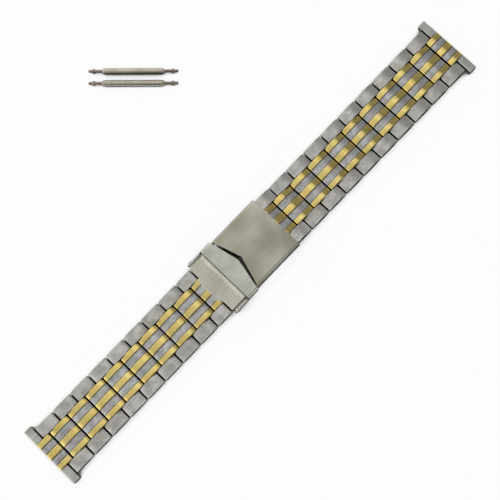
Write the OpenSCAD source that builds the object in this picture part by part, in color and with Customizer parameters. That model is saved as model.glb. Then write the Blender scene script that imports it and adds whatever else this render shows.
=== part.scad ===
// Two-tone link bracelet for a wristwatch, with a fold-over clasp and two loose spring bars.
// It lies closed and face up. X runs along the bracelet, Y across it and Z up from the table.
// The origin is on the underside of the clasp, at its middle.

/* [Links] */
// Distance from one row of links to the next
link_pitch = 7; // [6.4:0.1:8]
// Rows of outer links on the strap at the left of the clasp
left_rows = 9; // [5:1:12]
// Rows of outer links on the strap at the right of the clasp
right_rows = 10; // [5:1:12]
// Width of the strap over its outer links
strap_w = 16.9; // [16.4:0.1:17.2]
// Width of the striped centre links
centre_w = 9.7; // [9.2:0.1:10.4]
// Thickness of a link at its crown
link_h = 2.8; // [2.6:0.05:3]
// Height of the link pins above the underside of the links
pin_z = 1.3; // [1.2:0.05:1.4]
// Radius of the round nose at one end of a link
nose_r = 1; // [0.85:0.05:1.1]
// Gap between two links of the same row
row_gap = 0.3; // [0.25:0.05:0.5]
// Gap between the centre links and the outer links
side_gap = 0.1; // [0.06:0.01:0.2]
// Radius of the domed top of a link
crown_r = 11; // [8:0.5:20]
// Slope of the flats that lead from a link's ends to its underside
shoulder_a = 20; // [12:1:28]
// How far the flat end faces stand back from the round ends
face_tuck = 0.05; // [0.03:0.01:0.2]

/* [Stripes] */
// Width of each gold stripe at the edge of a centre link
edge_stripe_w = 1.65; // [1.4:0.05:1.9]
// Width of each steel stripe
steel_stripe_w = 2.2; // [1.8:0.05:2.5]
// How far the steel stripes lie below the gold ones
stripe_step = 0.14; // [0:0.02:0.25]
// Seam between neighbouring stripes
seam = 0.02; // [0.01:0.01:0.05]

/* [Link pins] */
// Radius of a link pin
pin_r = 0.5; // [0.4:0.02:0.55]
// Radial clearance of a pin where it is held
pin_grip = 0.01; // [0.01:0.005:0.03]
// Radial clearance of a pin where a link turns on it
pin_play = 0.06; // [0.03:0.01:0.1]

/* [End bars] */
// Length of the end bars, which fit between the lugs of the watch case
lug_w = 19.9; // [19:0.1:22]
// Width of an end bar, along the strap
end_bar_w = 2.45; // [2.3:0.05:2.6]
// Thickness of an end bar
end_bar_h = 2.6; // [2.4:0.05:2.6]
// Radius of the bore for a spring bar
lug_bore_r = 0.95; // [0.8:0.05:1]
// Radius of an end bar's corners
end_corner_r = 0.7; // [0.4:0.05:1]
// Distance from the last link pin to the outer face of an end bar
end_reach = 3.65; // [3.6:0.05:4.2]

/* [Clasp cover] */
// Height of the clasp's top above the table
clasp_top_z = 5.05; // [4.95:0.05:5.6]
// Gap between the outer links and the cover's walls
cover_play = 0.1; // [0.06:0.01:0.3]
// Thickness of the cover's sheet
cover_t = 0.5; // [0.4:0.02:0.52]
// Height of the cover's side walls above the table
wall_z = 1.5; // [1.2:0.1:1.7]
// Radius of the round ends of the cover's side strips
strip_r = 0.8; // [0.75:0.05:1]
// Height of the side strips' tops below the flap
strip_z = 3.95; // [3.5:0.05:4]
// Outer radius of the cover's long edges
cover_edge_r = 0.8; // [0.6:0.05:1]
// Place of the cover's open end
cover_end_x = 13.15; // [12.7:0.05:13.4]
// Place of the notch's corners
notch_corner_x = -3.35; // [-3.6:0.05:-3]
// Place of the notch's deepest point
notch_apex_x = -0.55; // [-1:0.05:0.5]
// Number of holes that set the strap's length
adjust_holes = 4; // [1:1:5]
// Distance between those holes
adjust_pitch = 2.4; // [2:0.1:2.6]

/* [Clasp hinges] */
// Place of the pin that joins the base blade and the middle blade
blade_pin_x = 9.4; // [8.8:0.1:9.6]
// Height of that pin
blade_pin_z = 1.1; // [1:0.05:1.2]
// Radius of the rolled knuckles on that pin
blade_knuckle_r = 0.8; // [0.75:0.05:0.85]
// Place of the pin that joins the middle blade and the cover
cover_pin_x = -6.3; // [-6.4:0.05:-5.8]
// Height of that pin
cover_pin_z = 2.75; // [2.6:0.05:2.9]
// Radius of the rolled end of the middle blade on that pin
cover_knuckle_r = 1; // [0.85:0.05:1.05]
// Thickness of the two blades
blade_t = 0.7; // [0.5:0.05:0.75]
// Width of the two blades
blade_w = 12.2; // [11:0.1:13]
// Width of each of the two knuckles rolled from the base blade
knuckle_w = 2; // [1.6:0.1:2.4]
// Distance of their middles from the clasp's middle
knuckle_y = 3.6; // [3.2:0.1:4]
// Gap beside and behind a knuckle
knuckle_gap = 0.2; // [0.1:0.02:0.3]
// Length of the window in the middle blade
window_len = 6.6; // [4:0.1:9]
// Width of that window
window_w = 6; // [4:0.1:7]

/* [Safety flap] */
// Thickness of the flap's sheet
flap_t = 0.5; // [0.4:0.05:0.6]
// Gap between the flap's arms and the cover
flap_gap = 0.05; // [0.04:0.01:0.1]
// Place of the flap's pivot
flap_pivot_x = -11.7; // [-12:0.05:-11.4]
// Height of the flap's pivot
flap_pivot_z = 2.6; // [2.5:0.05:2.7]
// Radius of the arms' round ends
arm_r = 1.15; // [1:0.05:1.2]
// Place of the flap's straight edge, next to the lip of the end plate
flap_edge_x = -7.5; // [-7.5:0.05:-7.3]
// Height of the flap's top at that edge
flap_edge_z = 4.7; // [4.65:0.05:4.9]
// Height of the flap's top at its point
flap_apex_z = 5.15; // [5:0.05:5.4]
// Height of the flap's lower edge at its point
flap_low_z = 3.2; // [2:0.1:3.8]
// Place of the corners of the flap's pointed edge
flap_corner_x = -3.9; // [-4.2:0.05:-3.8]
// Place of the flap's point
flap_apex_x = -1.8; // [-2.4:0.05:-1.6]
// Radius of the rivets' heads
head_r = 0.9; // [0.8:0.05:1.1]
// Height of those heads
head_h = 0.3; // [0.2:0.05:0.6]

/* [End plate] */
// Place of the plate's outer edge
plate_x = -13; // [-13.05:0.05:-12.9]
// How far the plate's tab reaches over the strap
tab_reach = 0.85; // [0.6:0.05:1]
// Width of that tab
tab_w = 8.8; // [8:0.1:9.4]
// Radius of the tab's corners
tab_corner_r = 0.4; // [0.2:0.05:0.6]
// Height of the plate's underside
plate_z = 3.15; // [3.1:0.05:3.2]
// Thickness of the plate
plate_t = 0.6; // [0.45:0.05:0.65]
// Height of the lip above the plate
lip_h = 0.5; // [0.3:0.05:0.55]
// Thickness of the lip at its top
lip_t = 0.4; // [0.3:0.05:0.6]
// Height of the lower edge of the plate's sides
skirt_z = 1; // [0.8:0.1:1.4]
// Gap between the plate's sides and the cover's walls
plate_gap = 0.15; // [0.1:0.05:0.3]

/* [Strap bars] */
// Place of the bar that holds the left strap
left_bar_x = -10.8; // [-10.9:0.05:-10.7]
// Place of the bar that holds the right strap
right_bar_x = 10.7; // [10.6:0.05:11.2]
// Height of the bar that holds the right strap
right_bar_z = 2.75; // [2.6:0.05:2.8]
// Radius of these bars
strap_bar_r = 0.6; // [0.5:0.02:0.62]
// Radius of their tips
strap_tip_r = 0.4; // [0.3:0.02:0.44]
// Links of the right strap that slope down to the table
slope_links = 3; // [3:1:6]

/* [Loose spring bars] */
// Radius of the tube
tube_r = 0.9; // [0.75:0.05:0.95]
// Length of the tube
tube_len = 17.9; // [15:0.1:18.5]
// Wall of the tube
tube_t = 0.28; // [0.22:0.01:0.32]
// Radius of the necks and tips
neck_r = 0.45; // [0.4:0.01:0.48]
// Length of a neck, from the tube to the flange
neck_len = 2.3; // [2:0.05:2.6]
// Radius of the flanges
flange_r = 0.7; // [0.6:0.05:0.75]
// Thickness of a flange
flange_t = 0.7; // [0.4:0.05:0.9]
// Length of a tip beyond its flange
tip_len = 1.2; // [0.8:0.05:1.4]
// Bevel at the end of a tip
tip_bevel = 0.12; // [0.05:0.01:0.2]
// How far each tip can be pushed in
tip_travel = 1.95; // [1:0.05:2]
// Length of the piston at the inner end of a tip
piston_len = 1.8; // [1.2:0.1:2.5]
// Thickness of the tube's closed-in mouths
mouth_t = 0.2; // [0.15:0.01:0.3]
// Rounding of the tube's ends, along and across
mouth_rim = 0.15; // [0.08:0.01:0.2]
// Wire diameter of the spring coil
wire_d = 0.18; // [0.12:0.01:0.25]
// Middle of the first bar, along and across the bracelet
loose_bar_1 = [17.1, 61.6];
// Middle of the second bar, along and across the bracelet
loose_bar_2 = [14.5, 59];
// Direction in which the loose bars point
loose_a = -47; // [-90:1:0]

/* [Hidden] */
half_pitch = link_pitch / 2;
bulge_r = half_pitch - nose_r - row_gap;
outer_w = (strap_w - centre_w) / 2 - side_gap;
mid_stripe_w = centre_w - 2 * (edge_stripe_w + steel_stripe_w) - 4 * seam;
steel_y = mid_stripe_w / 2 + seam + steel_stripe_w / 2;
edge_y = centre_w / 2 - edge_stripe_w / 2;
crown_x = (half_pitch + bulge_r - nose_r) / 2;
bore_r = pin_r + pin_play;
held_r = pin_r + pin_grip;
bar_bore_r = strap_bar_r + pin_play;
tip_hole_r = strap_tip_r + 2 * pin_grip;
slope_a = asin((right_bar_z - pin_z) / (slope_links * half_pitch));
cover_in = strap_w / 2 + cover_play;
cover_w = 2 * (cover_in + cover_t);
flap_a = atan2(flap_apex_z - flap_edge_z, flap_apex_x - flap_edge_x);
arm_in = cover_w / 2 + flap_gap;
arm_out = arm_in + flap_t;
plate_half = cover_in - plate_gap;
blade_run = sqrt(pow(blade_pin_x - cover_pin_x, 2) + pow(cover_pin_z - blade_pin_z, 2));
blade_a = atan2(cover_pin_z - blade_pin_z, blade_pin_x - cover_pin_x);
middle_knuckle = 2 * (knuckle_y - knuckle_gap / 2) - knuckle_w;
bore_in = tube_r - tube_t;
piston_r = bore_in - pin_play;
fork_in = centre_w / 2 + side_gap;
fork_out = plate_half - cover_t - side_gap;
cut = 0.1;
steel = [0.6, 0.6, 0.57];
clasp_steel = [0.66, 0.65, 0.6];
flap_steel = [0.7, 0.71, 0.7];
gold = [0.86, 0.68, 0.28];
bar_steel = [0.56, 0.55, 0.5];

function rows(side) = side < 0 ? left_rows : right_rows;
function side_name(side) = side < 0 ? "left" : "right";
function outer_name(side, row) = str(side_name(side), "_outer_links_", row);
function centre_name(side, row) = str(side_name(side), "_centre_link_", row);
function end_name(side, part) = str(side_name(side), "_end_", part);
function bar_name(bar, part) = str("spring_bar_", bar, "_", part);

// The pins of a strap are counted from its clasp bar, which is number 0. Link n lies between
// pins n - 1 and n. Odd links are centre links and even ones are pairs of outer links.
function tilt(side, n) = side > 0 && n <= slope_links ? slope_a : 0;
function pin_at(side, n) = n == 0
    ? (side < 0 ? [-left_bar_x, pin_z] : [right_bar_x, right_bar_z])
    : pin_at(side, n - 1) + half_pitch * [cos(tilt(side, n)), -sin(tilt(side, n))];

// Draws its children with their origin on pin n, X pointing away from the clasp.
module on_pin(side, n, a) {
    at = pin_at(side, n);
    mirror([side < 0 ? 1 : 0, 0, 0]) translate([at.x, 0, at.y]) rotate([0, a, 0]) children();
}

// Extrudes a side outline, drawn in X and Z, to a width centred on y.
module across(w, y = 0) {
    translate([0, y + w / 2, 0]) rotate([90, 0, 0]) linear_extrude(w) children();
}

module rod(r, w, y = 0) {
    translate([0, y, 0]) rotate([90, 0, 0]) cylinder(r = r, h = w, center = true, $fn = 48);
}

// A rectangle with round corners, from its lower left corner.
module rounded(size, r) {
    translate([r, 0]) square([size.x - 2 * r, size.y]);
    translate([0, r]) square([size.x, size.y - 2 * r]);
    for (x = [r, size.x - r], y = [r, size.y - r]) translate([x, y]) circle(r, $fn = 48);
}

// The end around the pin at the origin, for a piece that reaches to the given X. It is round
// below, with a flat to the underside, and above it has an upright face.
module nose_outline(reach) {
    touch = nose_r * [-sin(shoulder_a), -cos(shoulder_a)];
    fall = touch.y - (reach - touch.x) * tan(shoulder_a);
    circle(nose_r, $fn = 64);
    polygon([touch, [reach, fall], [reach, 0], [touch.x, 0]]);
    translate([face_tuck - nose_r, 0]) square([reach + nose_r - face_tuck, link_h]);
}

// The far end, round about the pin at half_pitch, with a flat from below that pin.
module bulge_outline(r) {
    reach = half_pitch + r;
    difference() {
        union() {
            translate([half_pitch, 0]) circle(r, $fn = 64);
            translate([-nose_r, -link_h]) square([nose_r + half_pitch, 2 * link_h]);
            translate([-nose_r, 0]) square([nose_r + reach - face_tuck, link_h]);
        }
        polygon([
            [half_pitch, -pin_z], [reach, -pin_z + r * tan(shoulder_a)],
            [reach, -link_h], [half_pitch, -link_h]
        ]);
    }
}

module crown_outline(step) {
    translate([crown_x, link_h - pin_z - crown_r]) circle(crown_r - step, $fn = 180);
}

// Side outline of a link, from the nose on the pin at the origin to the fuller far end. Both
// ends are round about their own pin, so that neighbours in a row clear each other at any bend.
module link_outline(step = 0, far_r = bulge_r) {
    intersection() {
        translate([-nose_r, -pin_z]) square([nose_r + half_pitch + far_r, link_h]);
        crown_outline(step);
        nose_outline(half_pitch + far_r);
        bulge_outline(far_r);
    }
}

// Each stripe is a slice as deep as the link, and the pins hold the slices together.
module stripes(with_gold = true, with_steel = true) {
    if (with_gold) {
        color(gold) across(mid_stripe_w) children(0);
        for (s = [-1, 1]) color(gold) across(edge_stripe_w, s * edge_y) children(0);
    }
    if (with_steel) for (s = [-1, 1]) color(steel) across(steel_stripe_w, s * steel_y) children(1);
}

module drilled_link(near_r, step = 0) {
    difference() {
        link_outline(step);
        circle(near_r, $fn = 48);
        translate([half_pitch, 0]) circle(bore_r, $fn = 48);
    }
}

// Row 1 is at the clasp, where its centre link turns on the strap bar.
module centre_link(side, row) {
    n = 2 * row - 1;
    near_r = row == 1 ? bar_bore_r : bore_r;
    on_pin(side, n - 1, tilt(side, n)) stripes() {
        drilled_link(near_r);
        drilled_link(near_r, stripe_step);
    }
}

// Two outer links and the two pins that are pressed into them. Those next to the clasp's end
// plate are cut short to clear it.
module outer_links(side, row) {
    n = 2 * row;
    y = centre_w / 2 + side_gap + outer_w / 2;
    far_r = side < 0 && row == 1 ? nose_r : bulge_r;
    on_pin(side, n, tilt(side, n)) mirror([1, 0, 0]) color(steel) {
        for (s = [-1, 1]) across(outer_w, s * y) difference() {
            link_outline(0, far_r);
            for (x = [0, half_pitch]) translate([x, 0]) circle(held_r, $fn = 48);
        }
        for (x = [0, half_pitch]) translate([x, 0, 0]) rod(pin_r, strap_w - cut);
    }
}

module end_bar_outline() {
    translate([end_reach - end_bar_w, -end_bar_h / 2]) rounded([end_bar_w, end_bar_h], end_corner_r);
}

module lug_bore() {
    translate([end_reach - end_bar_w / 2, 0]) circle(lug_bore_r, $fn = 48);
}

// The striped tongue of an end piece turns on the last pin and wraps the end bar.
module end_tongue_outline(step = 0) {
    difference() {
        intersection() {
            translate([-nose_r, -pin_z]) rounded([nose_r + end_reach, link_h], end_corner_r);
            crown_outline(step);
            nose_outline(end_reach);
        }
        circle(bore_r, $fn = 48);
        lug_bore();
    }
}

module end_bar(side) {
    arm = (lug_w - centre_w) / 2 - seam;
    on_pin(side, 2 * rows(side), 0) {
        stripes(with_gold = false) { end_tongue_outline(); end_tongue_outline(stripe_step); }
        for (s = [-1, 1]) color(steel) across(arm, s * (lug_w - arm) / 2) difference() {
            end_bar_outline();
            lug_bore();
        }
    }
}

module end_stripes(side) {
    on_pin(side, 2 * rows(side), 0) stripes(with_steel = false) {
        end_tongue_outline();
        end_tongue_outline(stripe_step);
    }
}

// Lower blade: the left strap's bar sits in its fork and the middle blade folds onto it.
module base_blade() {
    fork_x = plate_x + side_gap;
    fork_end = flap_edge_x - lip_t;
    sheet_x = left_bar_x + nose_r + row_gap;
    knuckle_end = blade_pin_x - blade_knuckle_r - knuckle_gap;
    color(clasp_steel) {
        difference() {
            union() {
                translate([sheet_x, -blade_w / 2, 0]) cube([knuckle_end - sheet_x, blade_w, blade_t]);
                translate([sheet_x, -fork_out, 0]) cube([fork_end - sheet_x, 2 * fork_out, blade_t]);
                for (s = [-1, 1]) across(fork_out - fork_in, s * (fork_out + fork_in) / 2)
                    translate([fork_x, 0]) square([fork_end - fork_x, plate_z]);
                for (s = [-1, 1]) across(knuckle_w, s * knuckle_y) blade_knuckle(knuckle_end);
            }
            translate([left_bar_x, 0, pin_z]) rod(tip_hole_r, 2 * fork_out + cut);
            translate([blade_pin_x, 0, blade_pin_z]) rod(held_r, blade_w);
        }
    }
}

module blade_knuckle(from_x) {
    translate([blade_pin_x, blade_pin_z]) circle(blade_knuckle_r, $fn = 48);
    translate([from_x, 0]) square([blade_pin_x - from_x, blade_pin_z]);
}

// Plate over the end of the left strap, with a tab between the outer links and a raised lip.
module end_plate() {
    top = plate_z + plate_t;
    lip_x = flap_edge_x - cut;
    sweep = 2 * lip_h;
    skirt = [lip_x - plate_x, top - cut - skirt_z];
    color(clasp_steel) {
        translate([plate_x, -plate_half, plate_z]) cube([lip_x - plate_x, 2 * plate_half, plate_t]);
        translate([plate_x - tab_reach, -tab_w / 2, plate_z]) linear_extrude(plate_t)
            rounded([3 * tab_reach, tab_w], tab_corner_r);
        for (s = [-1, 1]) across(cover_t, s * (plate_half - cover_t / 2))
            translate([plate_x, skirt_z]) square(skirt);
        across(2 * plate_half) difference() {
            translate([lip_x - lip_t - sweep, plate_z]) square([lip_t + sweep, plate_t + lip_h]);
            translate([lip_x - lip_t - sweep, top + sweep]) circle(sweep, $fn = 96);
        }
    }
}

// The blade between the two hinges, with a window pressed out of it.
module middle_blade() {
    inner = blade_knuckle_r + knuckle_gap;
    window = [window_len, window_w];
    color(clasp_steel) translate([blade_pin_x, 0, blade_pin_z]) rotate([0, 180 + blade_a, 0])
    difference() {
        union() {
            rod(blade_knuckle_r, middle_knuckle);
            translate([0, -middle_knuckle / 2, -blade_t / 2])
                cube([blade_run, middle_knuckle, blade_t]);
            translate([inner, -blade_w / 2, -blade_t / 2])
                cube([blade_run - inner, blade_w, blade_t]);
            translate([blade_run, 0, 0]) rod(cover_knuckle_r, 2 * (cover_in - 1));
        }
        rod(bore_r, blade_w);
        translate([blade_run, 0, 0]) rod(bore_r, 2 * cover_in);
        translate([(blade_run - window_len) / 2, -window_w / 2, -blade_t])
            linear_extrude(2 * blade_t) rounded(window, 1);
    }
}

// Cross-section of a pressed channel, open below, drawn in Y and Z.
module channel(half, t, low, top, r) {
    difference() {
        channel_block(half, low, top, r);
        channel_block(half - t, low - cut, top - t, r - t);
    }
}

module channel_block(half, low, top, r) {
    translate([-half, low]) square([2 * half, top - low - r]);
    translate([r - half, low]) square([2 * (half - r), top - low]);
    for (s = [-1, 1]) translate([s * (half - r), top - r]) circle(r, $fn = 48);
}

module along(from_x, to_x) {
    translate([from_x, 0, 0]) rotate([90, 0, 90]) linear_extrude(to_x - from_x) children();
}

module plan_point(corner_x, apex_x, half, reach) {
    polygon([[corner_x, -half], [apex_x, 0], [corner_x, half], [reach, half], [reach, -half]]);
}

// Side outline of the strips that run from the cover's walls to the flap's pivot.
module strip_outline() {
    translate([flap_pivot_x, flap_pivot_z]) circle(strip_r, $fn = 64);
    translate([flap_pivot_x, flap_pivot_z - strip_r])
        square([notch_corner_x + cut - flap_pivot_x, 2 * strip_r]);
    translate([flap_edge_x + cut, wall_z])
        square([notch_corner_x - flap_edge_x, strip_z - wall_z]);
}

module cover() {
    color(clasp_steel) difference() {
        union() {
            along(notch_corner_x, cover_end_x)
                channel(cover_w / 2, cover_t, wall_z, clasp_top_z, cover_edge_r);
            for (s = [-1, 1]) across(cover_t, s * (cover_w - cover_t) / 2) strip_outline();
        }
        translate([0, 0, clasp_top_z - 1.5 * cover_t]) linear_extrude(1)
            plan_point(notch_corner_x, notch_apex_x, cover_w / 2, notch_corner_x - 1);
        for (i = [0:adjust_holes - 1]) translate([right_bar_x - i * adjust_pitch, 0, right_bar_z])
            rod(tip_hole_r, cover_w + cut);
        translate([cover_pin_x, 0, cover_pin_z]) rod(held_r, cover_w + cut);
        translate([flap_pivot_x, 0, flap_pivot_z]) rod(held_r, cover_w + cut);
    }
}

// Side outline of the flap and its arms. Their lower edge rises towards the point.
module flap_outline() {
    low = flap_pivot_z - arm_r;
    high = flap_pivot_z + arm_r;
    translate([flap_pivot_x, flap_pivot_z]) circle(arm_r, $fn = 64);
    polygon([
        [flap_pivot_x, low], [flap_apex_x, flap_low_z], [flap_apex_x, 2 * clasp_top_z],
        [flap_edge_x, 2 * clasp_top_z], [flap_edge_x, high], [flap_pivot_x, high]
    ]);
}

// Pointed flap that folds over the cover's notch, bent from one sheet whose top rises towards
// the point. Its arms lie outside the cover.
module safety_flap() {
    reach = flap_edge_x - flap_pivot_x + 2 * arm_r;
    color(flap_steel) difference() {
        intersection() {
            translate([flap_edge_x, 0, flap_edge_z]) rotate([0, -flap_a, 0])
                along(-reach, flap_apex_x - flap_edge_x + 1)
                    channel(arm_out, flap_t, -flap_edge_z, 0, cover_edge_r);
            across(2 * arm_out + cut) flap_outline();
        }
        linear_extrude(2 * clasp_top_z)
            plan_point(flap_corner_x, flap_apex_x, arm_out + cut, flap_apex_x + 1);
        translate([flap_pivot_x, 0, flap_pivot_z]) rod(bore_r, 2 * arm_out + cut);
    }
}

module blade_pin() {
    color(bar_steel) translate([blade_pin_x, 0, blade_pin_z])
        rod(pin_r, 2 * knuckle_y + knuckle_w);
}

module cover_pin() {
    color(bar_steel) translate([cover_pin_x, 0, cover_pin_z]) rod(pin_r, cover_w - cut);
}

// Domed rivets, pressed into the cover, on which the flap's arms turn.
module flap_rivets() {
    dome_r = (head_r * head_r + head_h * head_h) / (2 * head_h);
    shank = arm_out + side_gap / 2 - cover_in;
    color(bar_steel) for (s = [-1, 1]) translate([flap_pivot_x, s * cover_in, flap_pivot_z])
        rotate([-s * 90, 0, 0]) {
            cylinder(r = pin_r, h = shank + cut, $fn = 48);
            translate([0, 0, shank]) intersection() {
                cylinder(r = head_r, h = head_h, $fn = 48);
                translate([0, 0, head_h - dome_r]) sphere(dome_r, $fn = 96);
            }
        }
}

module strap_bar(x, z, body, full) {
    color(bar_steel) translate([x, 0, z]) {
        rod(strap_bar_r, body);
        rod(strap_tip_r, full);
    }
}

module left_strap_bar() {
    strap_bar(left_bar_x, pin_z, 2 * (fork_in - 2 * pin_grip), 2 * fork_out - cut);
}

module right_strap_bar() {
    strap_bar(right_bar_x, right_bar_z, 2 * cover_in - cut, cover_w - cut);
}

// A loose spring bar, lying on the table. Its own axis is drawn along Z.
module loose(bar) {
    at = bar == 1 ? loose_bar_1 : loose_bar_2;
    translate([at.x, at.y, tube_r]) rotate([0, 90, loose_a]) color(bar_steel) children();
}

module turned(points) { rotate_extrude($fn = 64) polygon(points); }

module bar_tube(bar) {
    end = tube_len / 2;
    mouth = neck_r + pin_play;
    loose(bar) for (s = [-1, 1]) turned([
        [bore_in, 0], [tube_r, 0], [tube_r, s * (end - mouth_rim)], [tube_r - mouth_rim, s * end],
        [mouth, s * end], [mouth, s * (end - mouth_t)], [bore_in, s * (end - mouth_t)]
    ]);
}

// The coil is drawn at its closed length, which leaves the tips their travel.
module bar_coil(bar) {
    half = tube_len / 2 - mouth_t - piston_len - tip_travel - cut;
    loose(bar) difference() {
        cylinder(r = piston_r, h = 2 * half, center = true, $fn = 48);
        cylinder(r = piston_r - wire_d, h = 2 * half + cut, center = true, $fn = 48);
    }
}

module bar_tip(bar, dir) {
    shoulder = tube_len / 2 - mouth_t - pin_grip;
    flange = tube_len / 2 + neck_len;
    far = flange + flange_t;
    loose(bar) mirror([0, 0, dir < 0 ? 1 : 0]) turned([
        [0, shoulder - piston_len], [piston_r, shoulder - piston_len], [piston_r, shoulder],
        [neck_r, shoulder], [neck_r, flange], [flange_r, flange], [flange_r, far], [neck_r, far],
        [neck_r, far + tip_len - tip_bevel], [neck_r - tip_bevel, far + tip_len],
        [0, far + tip_len]
    ]);
}

base_blade();
end_plate();
middle_blade();
cover();
safety_flap();
blade_pin();
cover_pin();
flap_rivets();
left_strap_bar();
right_strap_bar();
for (side = [-1, 1]) {
    for (row = [1:rows(side)]) {
        outer_links(side, row);
        centre_link(side, row);
    }
    end_bar(side);
    end_stripes(side);
}
for (bar = [1, 2]) {
    bar_tube(bar);
    bar_coil(bar);
    bar_tip(bar, 1);
    bar_tip(bar, -1);
}
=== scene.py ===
# %% [markdown]
# # A two-tone link bracelet
#
# The real object is a watch bracelet of stainless steel links, some of them with gold-plated
# stripes, closed by a fold-over clasp of pressed sheet. Two loose spring bars lie beside it.
# The construction comes from a CAD model, so it could be shown as it is. Its edges are
# perfectly sharp, though, and sharp edges never catch the light. So most pieces are built
# again here at the same place, with the small roundings that tumbling and polishing leave.

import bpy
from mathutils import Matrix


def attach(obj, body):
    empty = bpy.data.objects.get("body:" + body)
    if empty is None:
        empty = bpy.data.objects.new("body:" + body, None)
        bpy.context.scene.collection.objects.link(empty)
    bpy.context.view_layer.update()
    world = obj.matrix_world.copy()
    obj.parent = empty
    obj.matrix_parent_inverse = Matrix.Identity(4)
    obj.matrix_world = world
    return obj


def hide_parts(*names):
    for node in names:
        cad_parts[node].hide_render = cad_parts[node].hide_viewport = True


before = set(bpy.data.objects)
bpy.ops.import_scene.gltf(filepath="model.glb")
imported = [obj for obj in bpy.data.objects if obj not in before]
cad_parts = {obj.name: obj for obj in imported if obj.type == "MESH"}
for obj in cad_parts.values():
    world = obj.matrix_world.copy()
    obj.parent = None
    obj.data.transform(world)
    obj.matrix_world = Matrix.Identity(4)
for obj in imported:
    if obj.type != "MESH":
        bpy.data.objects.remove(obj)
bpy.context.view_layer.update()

# %% Modules for meshes, numbers and notes
import math

import bmesh
import bpy
from mathutils import Matrix, Vector

MM = 0.001
print("one millimetre is", MM, "m")

# %% [markdown]
# ## The camera
#
# The bracelet is seen from almost straight above, running from the lower left to the upper
# right. The camera could be turned by hand until it looks right. Here its place, the point it
# looks at and its roll were solved from the corners of links and clasp, so they are written
# as numbers. A long lens keeps the links at both ends nearly the same size.

# %% Camera
EYE = Vector((-18.196, -59.819, 345.244)) * MM
LOOKS_AT = Vector((2.714, 0.458, 0)) * MM
ROLL = -0.814076

forward = (LOOKS_AT - EYE).normalized()
level = Vector((math.cos(ROLL), math.sin(ROLL), 0))
rightward = (level - forward * level.dot(forward)).normalized()
upward = rightward.cross(forward)
lens = bpy.data.cameras.new("camera")
lens.lens = 89.745
lens.clip_start, lens.clip_end = 0.01, 10
camera = bpy.data.objects.new("camera", lens)
turned = Matrix((rightward, upward, -forward)).transposed().to_4x4()
camera.matrix_world = Matrix.Translation(EYE) @ turned
bpy.context.scene.collection.objects.link(camera)
bpy.context.scene.camera = camera
bpy.context.scene.view_settings.view_transform = "Standard"
print("camera height in mm:", round(EYE.z / MM))

# %% [markdown]
# ## Small tools for every material
#
# Colours are written as the hex values one reads off a screen, and Blender calculates with
# linear light, so one function turns the first into the second. Nodes could be placed by hand
# in the editor. In a script a single function that adds a node, sets it up and links it keeps
# every material readable from top to bottom. Two more add the nodes needed most: sums and
# products of two values, and a ramp from one value to another.

# %% Colours and nodes
def linear(code):
    parts = [int(code[i:i + 2], 16) / 255 for i in (1, 3, 5)]
    return (*[c / 12.92 if c <= 0.04045 else ((c + 0.055) / 1.055) ** 2.4
              for c in parts], 1)


def add_node(tree, kind, inputs=None, **settings):
    made = tree.nodes.new("ShaderNode" + kind)
    for name, value in settings.items():
        setattr(made, name, value)
    for name, value in (inputs or {}).items():
        if isinstance(value, bpy.types.NodeSocket):
            tree.links.new(value, made.inputs[name])
        else:
            made.inputs[name].default_value = value
    return made


def joined(tree, operation, one, two):
    return add_node(tree, "Math", {0: one, 1: two}, operation=operation).outputs[0]


def ramp(tree, value, start, end, low=0.0, high=1.0, kind="SMOOTHSTEP"):
    """Goes from low to high as the value goes from start to end."""
    return add_node(tree, "MapRange", {
        "Value": value, "From Min": start, "From Max": end, "To Min": low, "To Max": high,
    }, interpolation_type=kind).outputs[0]


def blank_material(name):
    material = bpy.data.materials.new(name)
    material.use_nodes = True
    material.node_tree.nodes.clear()
    return material, material.node_tree


print("mid grey #808080 is", round(linear("#808080")[0], 3), "in linear light")

# %% [markdown]
# ## Studio light
#
# Polished metal shows its surroundings more than its own colour, so the room matters more
# than the lamps. The real links are bright over most of their crown and suddenly darker at
# one end, which is the edge of a large white panel mirrored in them. The edge sits at another
# place on the left strap than on the right one, so the panel hangs near. It is brightest
# towards that edge, where the lamp behind its cloth stands. The world could be painted light
# on one side, but a panel at a real height mirrors the way the real one does. Where its edges
# hang was worked out from the links in which they show.

# %% The panel above the table
PANEL_X = (-0.75, 0.25)
PANEL_Y = (-0.03, 0.6)
PANEL_HEIGHT = 0.55
PANEL_GLOW = 1.0
GLOW_ALONG_X = ((0.0, 0.56), (0.43, 0.36), (0.73, 0.46),
                (0.88, 0.66), (0.94, 0.48), (1.0, 0.36))

wide, deep = PANEL_X[1] - PANEL_X[0], PANEL_Y[1] - PANEL_Y[0]
panel_light = bpy.data.lights.new("white_panel", "AREA")
panel_light.shape = "RECTANGLE"
panel_light.size, panel_light.size_y = wide, deep
panel_light.energy = PANEL_GLOW * math.pi * wide * deep
panel_light.use_nodes = True
tree = panel_light.node_tree
tree.nodes.clear()
cloth = add_node(tree, "NewGeometry")
place = add_node(tree, "SeparateXYZ", {0: cloth.outputs["Parametric"]})
sweep = add_node(tree, "ValToRGB", {0: place.outputs["X"]})
sweep.color_ramp.interpolation = "EASE"
for share, bright in GLOW_ALONG_X[1:-1]:
    sweep.color_ramp.elements.new(share)
for stop, (share, bright) in zip(sweep.color_ramp.elements, GLOW_ALONG_X):
    stop.position, stop.color = share, (bright, bright, bright, 1)
lamp = add_node(tree, "Emission", {"Color": sweep.outputs[0], "Strength": 1.0})
add_node(tree, "OutputLight", {0: lamp.outputs[0]})
panel = bpy.data.objects.new("white_panel", panel_light)
panel.location = (sum(PANEL_X) / 2, sum(PANEL_Y) / 2, PANEL_HEIGHT)
panel.visible_camera = False
bpy.context.scene.collection.objects.link(panel)
print("panel of", wide, "by", round(deep, 2), "m,", round(panel_light.energy, 2), "W")

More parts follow.
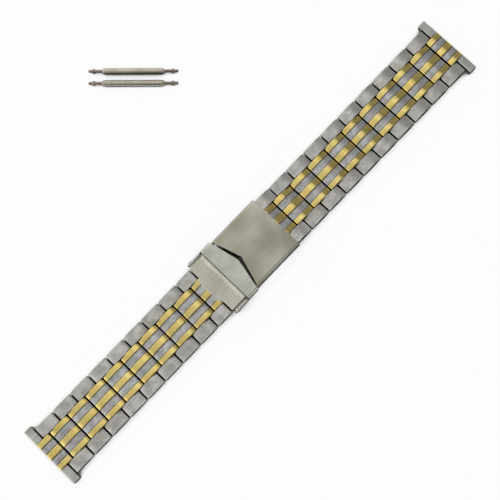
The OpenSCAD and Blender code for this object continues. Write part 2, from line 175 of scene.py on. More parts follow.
# %% [markdown]
# ## The rest of the room
#
# Past the panel the room is dim. It is bright behind the table, at a window on the left and
# low down all around. At the front left stands one narrow black screen, which gives the
# spring bars their dark lower half. Each of these could be a lamp or a board of its own. They
# are far away, so the direction of a ray alone tells how bright the room is there. Each is
# written as an axis, and how far along it a ray has to point for the change to begin and to
# end. The metal mirrors all of it. Only the camera sees plain white past the floor's edge.

# %% Room
ROOM_LIGHT, BRIGHT, SCREEN_LIGHT = 0.27, 1.0, 0.04
BEHIND = (0, 1, 0), 0.3, 0.75
WINDOW = (-1, 0, 0), 0.45, 0.8
LOW_DOWN = (0, 0, -1), -0.55, -0.3
SCREEN = (-0.727, -0.686, 0), 0.6, 0.9
SCREEN_LEFT = (0.686, -0.727, 0), -0.32, -0.16
SCREEN_RIGHT = (0.686, -0.727, 0), 0.32, 0.16

room = bpy.data.worlds.new("studio_room")
bpy.context.scene.world = room
room.use_nodes = True
tree = room.node_tree
tree.nodes.clear()
direction = add_node(tree, "TexCoord").outputs["Generated"]


def toward(axis, start, end, low=0.0, high=1.0):
    """Goes from low to high as a ray's part along that axis goes from start to end."""
    part = add_node(tree, "VectorMath", {0: direction, 1: axis}, operation="DOT_PRODUCT")
    return ramp(tree, part.outputs["Value"], start, end, low, high)


back, window, low_down = (toward(*where, ROOM_LIGHT, BRIGHT)
                          for where in (BEHIND, WINDOW, LOW_DOWN))
all_lit = joined(tree, "MAXIMUM", joined(tree, "MAXIMUM", back, window), low_down)
between = joined(tree, "MULTIPLY", toward(*SCREEN_LEFT), toward(*SCREEN_RIGHT))
screen = joined(tree, "MULTIPLY", toward(*SCREEN), between)
glow = add_node(tree, "Mix", {0: screen, 2: all_lit, 3: SCREEN_LIGHT})
lit_room = add_node(tree, "Background", {
    "Color": linear("#FFFFFF"), "Strength": glow.outputs[0],
})
backdrop = add_node(tree, "Background", {"Color": linear("#FFFFFF"), "Strength": 1.0})
path = add_node(tree, "LightPath")
seen = add_node(tree, "MixShader", {
    0: path.outputs["Is Camera Ray"], 1: lit_room.outputs[0], 2: backdrop.outputs[0],
})
add_node(tree, "OutputWorld", {"Surface": seen.outputs[0]})
print("light of the room's dim part:", ROOM_LIGHT)

# %% [markdown]
# ## The floor
#
# The bracelet lies on a plain white sheet. A white diffuse plane alone turns grey as soon as
# the light is mild. More light would wash out the metal, so the camera and reflections see
# mostly plain white, with a part of the true shading kept. Near the bracelet that white is
# darkened by ambient occlusion, a painted shadow. For reflections, which meet the paper right
# beside the metal, the painted shadow is made wider and darker than for the camera.

# %% Floor
SHADOW_REACH = 6
SEEN_SHADOW, MIRRORED_SHADOW = (0.3, 0.64), (0.74, 1.0)
PLAIN_WHITE = 0.95
HALF_FLOOR, BELOW_THE_LINKS = 3, 0.00002

paper, tree = blank_material("matt_white_paper")
sheet = add_node(tree, "BsdfDiffuse", {"Color": linear("#FAFAF9")})
hidden = add_node(tree, "AmbientOcclusion", {"Distance": SHADOW_REACH * MM}, samples=8)
path = add_node(tree, "LightPath")
camera_ray, glossy_ray, clear_ray = (
    path.outputs[f"Is {kind} Ray"] for kind in ("Camera", "Glossy", "Transmission"))
# Painted shadow: the white darkens where ambient occlusion finds the bracelet near, more
# widely for reflections.
brightness = add_node(tree, "Mix", {
    0: glossy_ray, 2: ramp(tree, hidden.outputs["AO"], *SEEN_SHADOW),
    3: ramp(tree, hidden.outputs["AO"], *MIRRORED_SHADOW),
})
white = add_node(tree, "Emission", {
    "Color": linear("#FFFFFF"), "Strength": brightness.outputs[0],
})
mirrored = joined(tree, "MAXIMUM", glossy_ray, clear_ray)
looked_at = joined(tree, "MAXIMUM", camera_ray, mirrored)
mixed = add_node(tree, "MixShader", {
    0: joined(tree, "MULTIPLY", looked_at, PLAIN_WHITE), 1: sheet.outputs[0],
    2: white.outputs[0],
})
add_node(tree, "OutputMaterial", {"Surface": mixed.outputs[0]})

bm = bmesh.new()
bm.faces.new([bm.verts.new((x * HALF_FLOOR, y * HALF_FLOOR, 0))
              for x, y in ((-1, -1), (1, -1), (1, 1), (-1, 1))])
floor_mesh = bpy.data.meshes.new("floor")
bm.to_mesh(floor_mesh)
bm.free()
floor_mesh.materials.append(paper)
floor = bpy.data.objects.new("floor", floor_mesh)
floor.location.z = -BELOW_THE_LINKS
bpy.context.scene.collection.objects.link(floor)
print("floor is", 2 * HALF_FLOOR, "m wide")

# %% [markdown]
# ## Brushed grain
#
# A belt of abrasive leaves fine parallel scratches. The real ones are about 0.03 mm wide,
# which is far below a pixel here, so they are drawn 0.14 to 0.3 mm wide and up to eight
# millimetres long, just coarse enough to show. The scratches could be a picture. Noise that
# is stretched along the strap needs no picture and has no seams. Each piece shifts the noise
# by its own random number, so that neighbours differ.

# %% Grain
def grain(tree, along, across, heading=0.0):
    """Noise that changes in so many millimetres along and across a heading on the XY plane."""
    place = add_node(tree, "TexCoord")
    own = add_node(tree, "ObjectInfo")
    turned = add_node(tree, "VectorRotate", {
        "Vector": place.outputs["Object"], "Angle": -heading,
    }, rotation_type="Z_AXIS")
    moved = add_node(tree, "VectorMath", {
        0: turned.outputs[0], 1: own.outputs["Random"],
    }, operation="ADD")
    fine, long = 1 / (across * MM), 1 / (along * MM)
    stretched = add_node(tree, "VectorMath", {0: moved.outputs[0], 1: (long, fine, fine)},
                         operation="MULTIPLY")
    return add_node(tree, "TexNoise", {
        "Vector": stretched.outputs[0], "Scale": 1.0, "Detail": 3.0, "Roughness": 0.6,
    }).outputs["Fac"]


def clouds(tree, size):
    """Soft patches about that many millimetres wide, for handling marks and uneven plating."""
    place = add_node(tree, "TexCoord")
    own = add_node(tree, "ObjectInfo")
    moved = add_node(tree, "VectorMath", {
        0: place.outputs["Object"], 1: own.outputs["Random"],
    }, operation="ADD")
    return add_node(tree, "TexNoise", {
        "Vector": moved.outputs[0], "Scale": 1 / (size * MM), "Detail": 2.0, "Roughness": 0.5,
    }).outputs["Fac"]


print("grain and patches are ready")

# %% [markdown]
# ## A skin of bare metal
#
# Every metal here is mixed from a lighter and a darker tone, by the streaks of its scratches
# and by soft patches. Both swing about one half, so their sum swings about one. The same
# streaks give a bump of a hundredth of a millimetre or less. A brushed face is smoother along
# its scratches than across them and draws its highlights out sideways, which anisotropy does.
# The sides of a piece that face along Y are painted darker than its face, a painted shade.
# Pieces come from different batches, so each is a little lighter or darker than its
# neighbour. Where little open sky reaches a skin, in seams and where parts meet, it is
# painted nearly black, a painted shade. All of this could be painted by hand on each piece.
# As rules in one function it fits every piece, whatever its shape.

# %% Metal skin
TONE_MIX = 0.8, 1.2
BATCHES = 0.07
# How far a face must turn along Y before its painted shade begins and is complete.
SIDE_SHADE_RANGE = 0.6, 0.95
# The ambient occlusion range and the near-black colour of the painted shade in crevices.
CROWDED, OPEN = 0.75, 0.98
CREVICE_SHADE = "#0C0B0A"
BRUSHED = 0.7


def metal_skin(name, light, dark, rough, streaks, patches, depth, rough_spread=0.05,
               brushed="", sides=1.0, shade_reach=0.0, streaky=1.0):
    """A bare metal: two tones mixed by streaks and patches, and a bump so many mm deep.

    brushed is the axis it was brushed along, sides the brightness of its Y sides, which is
    painted shade, shade_reach how many mm from crevices the painted shade reaches, and
    streaky the streaks' share in the tones."""
    material, tree = blank_material(name)
    lines = streaks(tree)
    faint = add_node(tree, "Math", {0: lines, 1: streaky, 2: 0.5 - streaky / 2},
                     operation="MULTIPLY_ADD")
    both = joined(tree, "ADD", faint.outputs[0], patches(tree))
    tone = add_node(tree, "MixRGB", {
        "Fac": ramp(tree, both, *TONE_MIX, kind="LINEAR"),
        "Color1": linear(dark), "Color2": linear(light),
    }).outputs[0]

    def times(colour, factor):
        return add_node(tree, "VectorMath", {0: colour, "Scale": factor},
                        operation="SCALE").outputs[0]

    own = add_node(tree, "ObjectInfo").outputs["Random"]
    tone = times(tone, ramp(tree, own, 0, 1, 1 - BATCHES, 1 + BATCHES, "LINEAR"))
    # Painted shade: the faces turned along Y are darkened down to the sides factor.
    if sides < 1:
        facing = add_node(tree, "SeparateXYZ", {
            0: add_node(tree, "TexCoord").outputs["Normal"],
        })
        sideways = joined(tree, "ABSOLUTE", facing.outputs["Y"], 0)
        tone = times(tone, ramp(tree, sideways, *SIDE_SHADE_RANGE, 1.0, sides, "LINEAR"))
    # Painted shade: where ambient occlusion finds little open sky, the tone turns near black.
    if shade_reach:
        hidden = add_node(tree, "AmbientOcclusion", {"Distance": shade_reach * MM}, samples=8)
        tone = add_node(tree, "MixRGB", {
            "Fac": ramp(tree, hidden.outputs["AO"], CROWDED, OPEN),
            "Color1": linear(CREVICE_SHADE), "Color2": tone,
        }).outputs[0]
    relief = add_node(tree, "Bump", {
        "Strength": 0.5, "Distance": depth * MM, "Height": lines,
    })
    skin = add_node(tree, "BsdfPrincipled", {
        "Base Color": tone, "Metallic": 1.0, "Normal": relief.outputs[0],
        "Roughness": ramp(tree, both, *TONE_MIX, rough + rough_spread, rough - rough_spread,
                          "LINEAR"),
    })
    if brushed:
        along = add_node(tree, "Tangent", direction_type="RADIAL", axis=brushed)
        tree.links.new(along.outputs[0], skin.inputs["Tangent"])
        skin.inputs["Anisotropic"].default_value = BRUSHED
    add_node(tree, "OutputMaterial", {"Surface": skin.outputs[0]})
    return material


print("tones differ from piece to piece by", BATCHES)

# %% [markdown]
# ## The metals
#
# Stainless steel reflects a little over half of the light and is nearly grey. Gold plate
# swallows blue, so its mirror image turns yellow. The outer links are satin brushed along the
# strap and look soft. The gold stripes are polished, so the edge of the panel is sharp in
# them. Each finish could be one shared steel with other settings, but they show different
# scratches, so each is a material.

# %% Link steel and gold plate
# These links get painted shade on their Y sides and in their seams.
link_steel = metal_skin(
    "satin_brushed_stainless_steel", "#D7D5CE", "#B7B5AF", 0.4,
    lambda tree: grain(tree, 5, 0.2), lambda tree: clouds(tree, 2.4), 0.012,
    brushed="X", sides=0.7, shade_reach=0.5)
stripe_steel = metal_skin(
    "fine_brushed_stainless_steel", "#D3D3D2", "#ADADAC", 0.39,
    lambda tree: grain(tree, 4, 0.2), lambda tree: clouds(tree, 1.8), 0.012,
    brushed="X", sides=0.7, shade_reach=0.5)
gold_plate = metal_skin(
    "polished_gold_plate", "#F0DC90", "#E5CC74", 0.1,
    lambda tree: grain(tree, 4, 0.14), lambda tree: clouds(tree, 2.2), 0.004, 0.03,
    sides=0.7, shade_reach=0.4)
print(link_steel.name, stripe_steel.name, gold_plate.name)

# %% [markdown]
# Hands and sleeves rub the edges of a bracelet bright, so the bevels get a lighter and
# smoother metal of their own, steel or gold. Pins and bars come from a lathe, whose tool
# leaves fine rings about them. They could wear the brushed steel of the links, but its
# scratches would run the wrong way. The spring bars' tubes are turned smooth, and their tips
# are left duller.

# %% Polished edges, turned pins and bars
ACROSS = math.pi / 2
LOOSE_HEADING = math.radians(-47)
bright_edge = metal_skin(
    "polished_steel_edge", "#E6E5E0", "#C4C3BD", 0.2,
    lambda tree: grain(tree, 1.5, 0.3), lambda tree: clouds(tree, 1.0), 0.004)
gold_edge = metal_skin(
    "worn_gold_plate_edge", "#FBE79C", "#E2BE58", 0.18,
    lambda tree: grain(tree, 1.5, 0.3), lambda tree: clouds(tree, 1.0), 0.003, 0.04)
turned_steel = metal_skin(
    "turned_stainless_steel", "#B9B2A6", "#8E887D", 0.2,
    lambda tree: grain(tree, 0.3, 3, ACROSS), lambda tree: clouds(tree, 1.4), 0.004)
bar_steel = metal_skin(
    "turned_spring_bar_steel", "#CCC4B5", "#B6AEA0", 0.14,
    lambda tree: grain(tree, 0.3, 3, LOOSE_HEADING), lambda tree: clouds(tree, 3), 0.0005,
    rough_spread=0.03)
tip_steel = metal_skin(
    "turned_spring_bar_tip_steel", "#ABA195", "#877D72", 0.2,
    lambda tree: grain(tree, 0.3, 3, LOOSE_HEADING), lambda tree: clouds(tree, 1.4), 0.002)
print(bright_edge.name, gold_edge.name, turned_steel.name, bar_steel.name, tip_steel.name)

# %% [markdown]
# The clasp is brushed more coarsely than the links and is a little warmer, its plate across
# the strap and its cover along it. The blades inside stay as they left the press. One sheet
# metal could serve for them all. They were finished one by one on the real clasp, so they
# mirror the room differently, and that tells them apart in the picture.

# %% Clasp sheet
# The clasp sheets get painted shade on their Y sides, and flap and blades in crevices too.
cover_sheet = metal_skin(
    "brushed_clasp_cover_sheet", "#CDCBBE", "#A7A493", 0.42,
    lambda tree: grain(tree, 7, 0.16), lambda tree: clouds(tree, 11), 0.003,
    brushed="X", sides=0.35, streaky=0.35)
plate_sheet = metal_skin(
    "brushed_clasp_plate_sheet", "#D6D4C6", "#C6C4B6", 0.4,
    lambda tree: grain(tree, 3, 0.16, ACROSS), lambda tree: clouds(tree, 5), 0.006,
    brushed="Y", sides=0.35, streaky=0.6)
flap_sheet = metal_skin(
    "satin_flap_sheet", "#D9D9CF", "#C4C4BA", 0.38,
    lambda tree: grain(tree, 6, 0.16), lambda tree: clouds(tree, 5), 0.004,
    brushed="X", sides=0.35, streaky=0.6, shade_reach=1.0)
blade_sheet = metal_skin(
    "pressed_clasp_blade_sheet", "#B8B7AE", "#A19F96", 0.34,
    lambda tree: grain(tree, 8, 0.2), lambda tree: clouds(tree, 3), 0.006, shade_reach=2.5)
print(cover_sheet.name, plate_sheet.name, flap_sheet.name, blade_sheet.name)

# %% [markdown]
# ## The shape of a link
#
# Seen from the side, a link has a small round nose about one pin, a fuller round end about
# the next pin, a flat belly and a gently domed crown. It could be carved from a block with
# Boolean cuts. The side outline says all of it, so it is drawn once, point by point, and
# given its width. All numbers are millimetres from the nose's pin.

# %% Side outlines
PIN_HEIGHT, LINK_HEIGHT, HALF_PITCH = 1.3, 2.8, 3.5
NOSE, BULGE, CROWN, CROWN_X = 1.0, 2.2, 11.0, 2.35
FACE_TUCK, SHOULDER = 0.05, math.radians(20)
TOP, BELLY = LINK_HEIGHT - PIN_HEIGHT, -PIN_HEIGHT


def arc(x, z, r, start, end, steps):
    angles = [start + (end - start) * i / steps for i in range(steps + 1)]
    return [(x + r * math.cos(a), z + r * math.sin(a)) for a in angles]


def corner_under_crown(face_x, r, drop, inward, top_x):
    """Centre of a rounding between an upright face and the crown, and where it meets it."""
    x = face_x + inward * r
    lift = math.sqrt((CROWN - drop - r) ** 2 - (x - top_x) ** 2)
    return x, TOP - CROWN + lift, math.atan2(lift, x - top_x)


def crown(far_x, near_x, drop=0.0, far_r=0.25, near_r=0.4, top_x=CROWN_X):
    """The domed top between two upright faces, with a rounded corner at each."""
    x, z, far_end = corner_under_crown(far_x, far_r, drop, -1, top_x)
    points = arc(x, z, far_r, 0, far_end, 6)
    x, z, near_end = corner_under_crown(near_x, near_r, drop, 1, top_x)
    points += arc(top_x, TOP - CROWN, CROWN - drop, far_end, near_end, 24)[1:-1]
    return points + arc(x, z, near_r, near_end, math.pi, 6)


def nose_end():
    """From the crown down the upright face, round the nose and along the flat to the belly."""
    face = NOSE - FACE_TUCK
    round_start, round_end = math.acos(-face / NOSE), math.pi * 1.5 - SHOULDER
    points = arc(0, 0, NOSE, round_start, round_end, 14)
    x, z = points[-1]
    return points + [(x + (z - BELLY) / math.tan(SHOULDER), BELLY)]


def link_outline(drop=0.0, far=BULGE):
    """The side outline. From below the far pin a flat rises at the shoulder's angle until it
    meets the far round. A round that stays above the belly begins at its lowest point."""
    low = -math.pi / 2
    if far > PIN_HEIGHT:
        slant = math.tan(SHOULDER)
        a, b, c = 1 + slant**2, PIN_HEIGHT * slant, PIN_HEIGHT**2 - far**2
        out = (b + math.sqrt(b * b - a * c)) / a
        low = math.asin((BELLY + out * slant) / far)
    high = math.acos((far - FACE_TUCK) / far)
    far_side = [(HALF_PITCH, BELLY)] + arc(HALF_PITCH, 0, far, low, high, 14)
    top = crown(HALF_PITCH + far - FACE_TUCK, FACE_TUCK - NOSE, drop)
    return nose_end() + far_side + top


print("points in a link's outline:", len(link_outline()))

# %% [markdown]
# ## From an outline to a piece
#
# Each slice of metal gets its width by joining two copies of the outline, and the pin holes
# are left open. Its rims are then bevelled by a tenth of a millimetre. A Bevel modifier could
# do that on every piece, but one bevelled mesh is shared by all links of a kind. The new
# bevel faces take the polished edge metal, as on the real links, where edges are the first
# thing that handling polishes.

# %% Slices
SHARP = math.radians(35)


def loop_verts(bm, points, y):
    return [bm.verts.new((x * MM, y * MM, z * MM)) for x, z in points]


def circle_points(x, z, r, steps=28):
    return arc(x, z, r, 0, math.tau * (1 - 1 / steps), steps - 1)


def add_slice(bm, outline, holes, y, width):
    """A slice of that outline, width millimetres wide about y, with open holes."""
    caps = ([], [])
    for points in [outline] + holes:
        near, far = (loop_verts(bm, points, y + s * width / 2) for s in (-1, 1))
        for i in range(len(points)):
            j = (i + 1) % len(points)
            bm.faces.new((near[i], near[j], far[j], far[i]))
            for cap, ring in zip(caps, (near, far)):
                cap.append(bm.edges.get((ring[i], ring[j])))
    for cap in caps:
        bmesh.ops.triangle_fill(bm, use_beauty=True, edges=cap)


def soften(bm, width, segments=2, first=0):
    """Rounds the sharp edges of all faces from the first on. The new faces get material 1."""
    bmesh.ops.recalc_face_normals(bm, faces=bm.faces)
    bm.faces.index_update()
    sharp = [e for e in bm.edges if len(e.link_faces) == 2
             and e.link_faces[0].index >= first and e.calc_face_angle(0) > SHARP]
    bmesh.ops.bevel(bm, geom=sharp, offset=width * MM, offset_type="OFFSET", profile=0.6,
                    segments=segments, affect="EDGES", clamp_overlap=True, material=1)


def finished_mesh(bm, name, *metals, crisp=48):
    """A mesh of those metals, smooth but for edges that turn by more than crisp degrees."""
    for face in bm.faces:
        face.smooth = True
    mesh = bpy.data.meshes.new(name)
    bm.to_mesh(mesh)
    bm.free()
    for metal in metals:
        mesh.materials.append(metal)
    mesh.set_sharp_from_angle(angle=math.radians(crisp))
    return mesh


def is_askew(place):
    """Whether it turns by anything but quarter turns."""
    return any(0.001 < abs(v) < 0.999 for row in place.to_3x3() for v in row)


def show(mesh, name, body, nodes, place=Matrix.Identity(4)):
    """Puts the mesh in the scene in place of those CAD nodes and lets it ride on their body.

    A piece is measured by the corners of its own box, which reach too far once it is turned
    askew, so such a turn goes into a copy of the mesh."""
    if is_askew(place):
        mesh = mesh.copy()
        mesh.transform(place)
        place = Matrix.Identity(4)
    piece = bpy.data.objects.new(name, mesh)
    bpy.context.scene.collection.objects.link(piece)
    piece.matrix_world = place
    flat = piece.modifiers.new("flat faces stay flat", "WEIGHTED_NORMAL")
    flat.keep_sharp = True
    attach(piece, body)
    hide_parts(*nodes)


print("slices, soft edges and finished meshes are ready")

# %% [markdown]
# ## The link meshes
#
# A centre link is a stack of five slices, gold and steel in turn, and the steel ones lie 0.14
# millimetres lower. It could be one striped block with painted colours, but the seams
# between real slices catch light and hold shadow, so every slice is a body of its own.

# %% Centre links
CENTRE_W, OUTER_W, STRAP_W, SEAM, STEP = 9.7, 3.5, 16.9, 0.02, 0.14
EDGE_STRIPE, STEEL_STRIPE = 1.65, 2.2
MID_STRIPE = CENTRE_W - 2 * (EDGE_STRIPE + STEEL_STRIPE) - 4 * SEAM
STEEL_Y = MID_STRIPE / 2 + SEAM + STEEL_STRIPE / 2
STEEL_PLACES = (-STEEL_Y, STEEL_STRIPE), (STEEL_Y, STEEL_STRIPE)
EDGE_Y = CENTRE_W / 2 - EDGE_STRIPE / 2
PIN_R, BORE_R, BAR_BORE_R = 0.5, 0.56, 0.66
SOFT, PRESS_FIT, PIN_SHORT = 0.1, 0.01, 0.1


def slices(places, outline, holes):
    bm = bmesh.new()
    for y, width in places:
        add_slice(bm, outline, holes, y, width)
    soften(bm, SOFT)
    return bm


def gold_slices(name, outline, holes):
    places = (0, MID_STRIPE), (-EDGE_Y, EDGE_STRIPE), (EDGE_Y, EDGE_STRIPE)
    return finished_mesh(slices(places, outline, holes), name, gold_plate, gold_edge)


def steel_slices(name, outline, holes):
    bm = slices(STEEL_PLACES, outline, holes)
    return finished_mesh(bm, name, stripe_steel, bright_edge)


far_hole = circle_points(HALF_PITCH, 0, BORE_R)
link_holes = [circle_points(0, 0, BORE_R), far_hole]
first_holes = [circle_points(0, 0, BAR_BORE_R), far_hole]
gold_mesh = gold_slices("centre_link_gold", link_outline(), link_holes)
steel_mesh = steel_slices("centre_link_steel", link_outline(STEP), link_holes)
first_gold = gold_slices("first_link_gold", link_outline(), first_holes)
first_steel = steel_slices("first_link_steel", link_outline(STEP), first_holes)
print("faces of a centre link:", len(gold_mesh.polygons) + len(steel_mesh.polygons))

# %% [markdown]
# An outer pair is two wide slices, one at each edge of the strap, with two pins pressed
# through them. On the real strap they are four pieces. They could be four objects here as
# well, but they never move against each other, so one mesh holds them all.

# %% Outer links and their pins
OUTER_Y = STRAP_W / 2 - OUTER_W / 2
PIN_LENGTH = STRAP_W - PIN_SHORT


def outer_pair(name, far):
    bm = bmesh.new()
    holes = [circle_points(x, 0, PIN_R + PRESS_FIT) for x in (0, HALF_PITCH)]
    for side in (-1, 1):
        add_slice(bm, link_outline(0, far), holes, side * OUTER_Y, OUTER_W)
    soften(bm, SOFT, segments=3)
    links = len(bm.faces)
    for x in (0, HALF_PITCH):
        add_slice(bm, circle_points(x, 0, PIN_R), [], 0, PIN_LENGTH)
    bm.faces.ensure_lookup_table()
    for face in bm.faces[links:]:
        face.material_index = 2
    bmesh.ops.recalc_face_normals(bm, faces=bm.faces)
    return finished_mesh(bm, name, link_steel, bright_edge, turned_steel)


outer_mesh = outer_pair("outer_links", BULGE)
short_outer_mesh = outer_pair("short_outer_links", NOSE)
print("faces of an outer pair:", len(outer_mesh.polygons))

# %% [markdown]
# ## Where each link goes
#
# The bracelet is a chain, and its pins are counted from the clasp. Every link could be placed
# by its own coordinates. The chain gives them all: each pin lies 3.5 mm from the last, and
# the first three links on the right come down a slope from the clasp to the table. Odd links
# are centre links, even ones are outer pairs and face the other way.

# %% The chain of pins
LEFT_BAR, RIGHT_BAR = (-10.8, 1.3), (10.7, 2.75)
ROWS = {"left": 9, "right": 10}
SLOPE_LINKS = 3
SLOPE = math.asin((RIGHT_BAR[1] - PIN_HEIGHT) / (SLOPE_LINKS * HALF_PITCH))


def slope_of(side, link):
    return SLOPE if side == "right" and link <= SLOPE_LINKS else 0.0


def pin(side, number):
    """The (x, z) of that pin, counted from the strap's bar in the clasp."""
    x, z = LEFT_BAR if side == "left" else RIGHT_BAR
    away = -1 if side == "left" else 1
    for link in range(1, number + 1):
        a = slope_of(side, link)
        x, z = x + away * HALF_PITCH * math.cos(a), z - HALF_PITCH * math.sin(a)
    return x, z


def on_pin(side, number, angle, backwards=False):
    """The place of a piece on that pin, pointing away from the clasp, or back to it."""
    x, z = pin(side, number)
    heading = math.pi if side == "left" else 0.0
    place = Matrix.Translation(Vector((x, 0, z)) * MM) @ Matrix.Rotation(heading, 4, "Z")
    place = place @ Matrix.Rotation(angle, 4, "Y")
    return place @ Matrix.Rotation(math.pi, 4, "Z") if backwards else place


for side, rows in ROWS.items():
    for row in range(1, rows + 1):
        gold, steel = (first_gold, first_steel) if row == 1 else (gold_mesh, steel_mesh)
        outer = short_outer_mesh if side == "left" and row == 1 else outer_mesh
        name, link = f"{side}_centre_link_{row}", 2 * row - 1
        place = on_pin(side, link - 1, slope_of(side, link))
        show(gold, name + "_gold", name, [name], place)
        show(steel, name + "_steel", name, [name], place)
        name, link = f"{side}_outer_links_{row}", 2 * row
        place = on_pin(side, link, slope_of(side, link), backwards=True)
        show(outer, name + "_pair", name, [name], place)
print("links placed:", 2 * sum(ROWS.values()))

# %% [markdown]
# ## End pieces
#
# The last striped link of each strap wraps a bar as wide as the lugs of a watch case. A long
# hole runs through it for a spring bar. The arms on both sides could be a plain rod, but the
# real ones are blocks with well rounded corners that stand a little lower than the stripes.

# %% End pieces
LUG_W, END_W, END_H, END_REACH, END_CORNER, LUG_BORE = 19.9, 2.45, 2.6, 3.65, 0.7, 0.95
TONGUE_TOP_X, TONGUE_R, ARM_CORNER, ARM_SOFT = 1.35, 0.35, 0.4, 0.12
ARM_W = (LUG_W - CENTRE_W) / 2 - SEAM


def tongue_outline(drop=0.0):
    x, low = END_REACH - END_CORNER, BELLY + END_CORNER
    lower = arc(x, low, END_CORNER, -math.pi / 2, 0, 7)
    return nose_end() + lower + crown(END_REACH, FACE_TUCK - NOSE, drop, TONGUE_R,
                                      top_x=TONGUE_TOP_X)


def arm_outline():
    x0, x1 = END_REACH - END_W + ARM_CORNER, END_REACH - ARM_CORNER
    z = END_H / 2 - ARM_CORNER
    points = []
    for x, s, start in ((x1, 1, 0), (x0, 1, 90), (x0, -1, 180), (x1, -1, 270)):
        a = math.radians(start)
        points += arc(x, s * z, ARM_CORNER, a, a + math.pi / 2, 7)
    return points


lug_hole = circle_points(END_REACH - END_W / 2, 0, LUG_BORE, 36)
end_holes = [circle_points(0, 0, BORE_R), lug_hole]
end_gold = gold_slices("end_piece_gold", tongue_outline(), end_holes)
bm = slices(STEEL_PLACES, tongue_outline(STEP), end_holes)
for face in bm.faces:
    face.material_index = 2 if face.material_index == 0 else 1
tongues = len(bm.faces)
for side in (-1, 1):
    add_slice(bm, arm_outline(), [lug_hole], side * (LUG_W - ARM_W) / 2, ARM_W)
soften(bm, ARM_SOFT, segments=3, first=tongues)
end_bar = finished_mesh(bm, "end_bar", link_steel, bright_edge, stripe_steel)
for side, rows in ROWS.items():
    place = on_pin(side, 2 * rows, 0.0)
    body = side + "_end_piece"
    show(end_gold, body + "_gold", body, [side + "_end_stripes"], place)
    show(end_bar, body + "_bar", body, [side + "_end_bar"], place)
print("end bar", LUG_W, "mm long")

# %% [markdown]
# ## The clasp
#
# Cover, flap, plate and blades are pressed from sheet half a millimetre thick. They could be
# drawn again, but their construction is already exact, with the notch, the rivet holes and
# the rolled knuckles. So each is copied from its CAD node, its triangles are joined to plain
# faces, and its edges are rounded as a press and a polishing wheel leave them.

# %% Clasp parts
def polished_copy(node, width, metal):
    bm = bmesh.new()
    bm.from_mesh(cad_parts[node].data)
    bmesh.ops.remove_doubles(bm, verts=bm.verts, dist=0.0005 * MM)
    for face in bm.faces:
        face.material_index = 0
    bmesh.ops.dissolve_limit(bm, angle_limit=math.radians(0.5), verts=bm.verts,
                             edges=bm.edges, delimit={"NORMAL"})
    soften(bm, width)
    return finished_mesh(bm, node + "_finished", metal, bright_edge)


for node, body, slot, width, metal in (
    ("cover", "cover", "clasp_steel", 0.08, cover_sheet),
    ("end_plate", "base", "clasp_steel", 0.1, plate_sheet),
    ("safety_flap", "safety_flap", "flap_steel", 0.09, flap_sheet),
    ("base_blade", "base", "clasp_steel", 0.06, blade_sheet),
    ("middle_blade", "middle_blade", "clasp_steel", 0.06, blade_sheet),
    ("blade_pin", "base", "bar_steel", 0.06, turned_steel),
    ("cover_pin", "cover", "bar_steel", 0.06, turned_steel),
    ("flap_rivets", "cover", "bar_steel", 0.05, turned_steel),
    ("left_strap_bar", "base", "bar_steel", 0.05, turned_steel),
    ("right_strap_bar", "cover", "bar_steel", 0.05, turned_steel),
):
    mesh = polished_copy(node, width, metal)
    show(mesh, node + "_finished", body, [node])
    print(node, len(mesh.polygons), "faces")

# %% [markdown]
# ## Spring bars
#
# A spring bar is a thin tube with a coil inside that pushes two stepped pins outward. The
# tube and the pins could be put together from cylinders and cones. They are turned on a
# lathe, so each is drawn as one outline and spun about the bar's axis. The tube is closed in
# over the pins' shoulders, and its ends are chamfered and shine.

# %% Lathe work
def lathe(name, profile, metal, steps=48):
    """Spins (radius, distance along the axis) in millimetres about the local X axis."""
    bm = bmesh.new()
    rings = []
    for r, x in profile:
        if r < 1e-6:
            rings.append([bm.verts.new((x * MM, 0, 0))])
            continue
        rings.append([bm.verts.new((x * MM, r * MM * math.cos(a), r * MM * math.sin(a)))
                      for a in (math.tau * i / steps for i in range(steps))])
    for one, two in zip(rings, rings[1:]):
        for i in range(steps):
            j = (i + 1) % steps
            corners = [one[i % len(one)], one[j % len(one)], two[j % len(two)],
                       two[i % len(two)]]
            bm.faces.new(list(dict.fromkeys(corners)))
    bmesh.ops.recalc_face_normals(bm, faces=bm.faces)
    return finished_mesh(bm, name, metal, crisp=20)


TUBE_R, TUBE_BORE, TUBE_HALF = 0.9, 0.62, 8.95
NECK_R, MOUTH_R, MOUTH_T, RIM_DEPTH, RIM_LENGTH = 0.45, 0.51, 0.2, 0.24, 0.4
FLANGE_R, FLANGE_X, FLANGE_T, TIP_LEN = 0.7, 11.25, 0.7, 1.2
PISTON, TRAVEL, SPARE, PLAY, LOOSE = 1.8, 1.95, 0.1, 0.01, 0.06


def tube_profile():
    mouth = TUBE_HALF - MOUTH_T
    half = [(TUBE_BORE, 0), (TUBE_BORE, mouth), (MOUTH_R, mouth),
            (MOUTH_R, TUBE_HALF - 0.03), (MOUTH_R + 0.03, TUBE_HALF),
            (TUBE_R - RIM_DEPTH, TUBE_HALF), (TUBE_R, TUBE_HALF - RIM_LENGTH)]
    other = [(r, -x) for r, x in half]
    return half + [(TUBE_R, 0)] + other[::-1] + [half[0]]


def tip_profile():
    shoulder = TUBE_HALF - MOUTH_T - PLAY
    r, start = TUBE_BORE - LOOSE, shoulder - PISTON
    far = FLANGE_X + FLANGE_T
    end = far + TIP_LEN
    return [(0, start), (r - 0.05, start), (r, start + 0.05),
            (r, shoulder - 0.03), (r - 0.03, shoulder), (NECK_R, shoulder),
            (NECK_R, FLANGE_X), (FLANGE_R - 0.08, FLANGE_X), (FLANGE_R, FLANGE_X + 0.08),
            (FLANGE_R, far - 0.08), (FLANGE_R - 0.08, far), (NECK_R, far),
            (NECK_R, end - 0.12), (NECK_R - 0.04, end - 0.04), (NECK_R - 0.12, end),
            (0, end)]


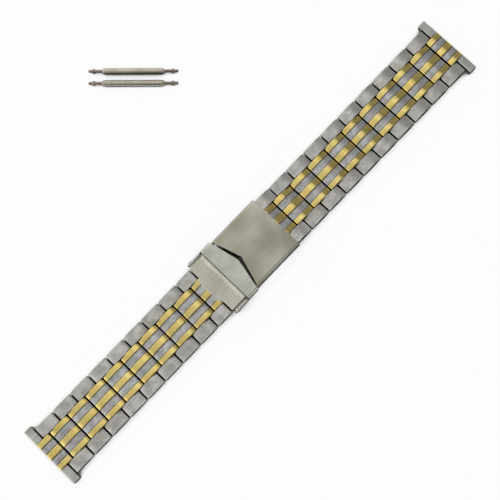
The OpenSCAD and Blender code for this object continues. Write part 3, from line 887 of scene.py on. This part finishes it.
tube_mesh = lathe("spring_bar_tube", tube_profile(), bar_steel)
tip_mesh = lathe("spring_bar_tip", tip_profile(), tip_steel)
print("spring bar is", 2 * (FLANGE_X + FLANGE_T + TIP_LEN), "mm long")

# %% [markdown]
# The coil is a thread of wire in the tube, wound tight where the tips leave it room. It can't
# be seen from outside, and a plain sleeve could stand for it, as in the CAD model. Wound, it
# is right in a cut-away picture too. The two finished bars then lie beside the bracelet.

# %% The coil inside
COIL_R, WIRE = 0.56, 0.18
COIL_HALF = TUBE_HALF - MOUTH_T - PISTON - TRAVEL - SPARE
LOOSE_BARS = (17.1, 61.6), (14.5, 59.0)


def coil(turns=26, steps=14, sides=6):
    bm = bmesh.new()
    rings = []
    middle = COIL_R - WIRE / 2
    reach = COIL_HALF - WIRE / 2
    for k in range(turns * steps + 1):
        a = math.tau * k / steps
        x = -reach + 2 * reach * k / (turns * steps)
        out = Vector((0, math.cos(a), math.sin(a)))
        centre = Vector((x, 0, 0)) + out * middle
        rings.append([bm.verts.new((centre + WIRE / 2 * (
            out * math.cos(b) + Vector((1, 0, 0)) * math.sin(b))) * MM)
            for b in (math.tau * i / sides for i in range(sides))])
    for one, two in zip(rings, rings[1:]):
        for i in range(sides):
            j = (i + 1) % sides
            bm.faces.new((one[i], one[j], two[j], two[i]))
    bm.faces.new(rings[0])
    bm.faces.new(rings[-1])
    bmesh.ops.recalc_face_normals(bm, faces=bm.faces)
    return finished_mesh(bm, "spring_bar_coil", bar_steel)


coil_mesh = coil()
for number, at in enumerate(LOOSE_BARS, 1):
    place = Matrix.Translation(Vector((*at, TUBE_R)) * MM)
    place = place @ Matrix.Rotation(LOOSE_HEADING, 4, "Z")
    name = f"spring_bar_{number}_"
    turned_back = place @ Matrix.Rotation(math.pi, 4, "Z")
    for mesh, part, body, where in (
        (tube_mesh, "tube", "base", place), (coil_mesh, "coil", "base", place),
        (tip_mesh, "tip_a", name + "tip_a", place),
        (tip_mesh, "tip_b", name + "tip_b", turned_back),
    ):
        show(mesh, name + part + "_turned", body, [name + part], where)
print("two spring bars placed")
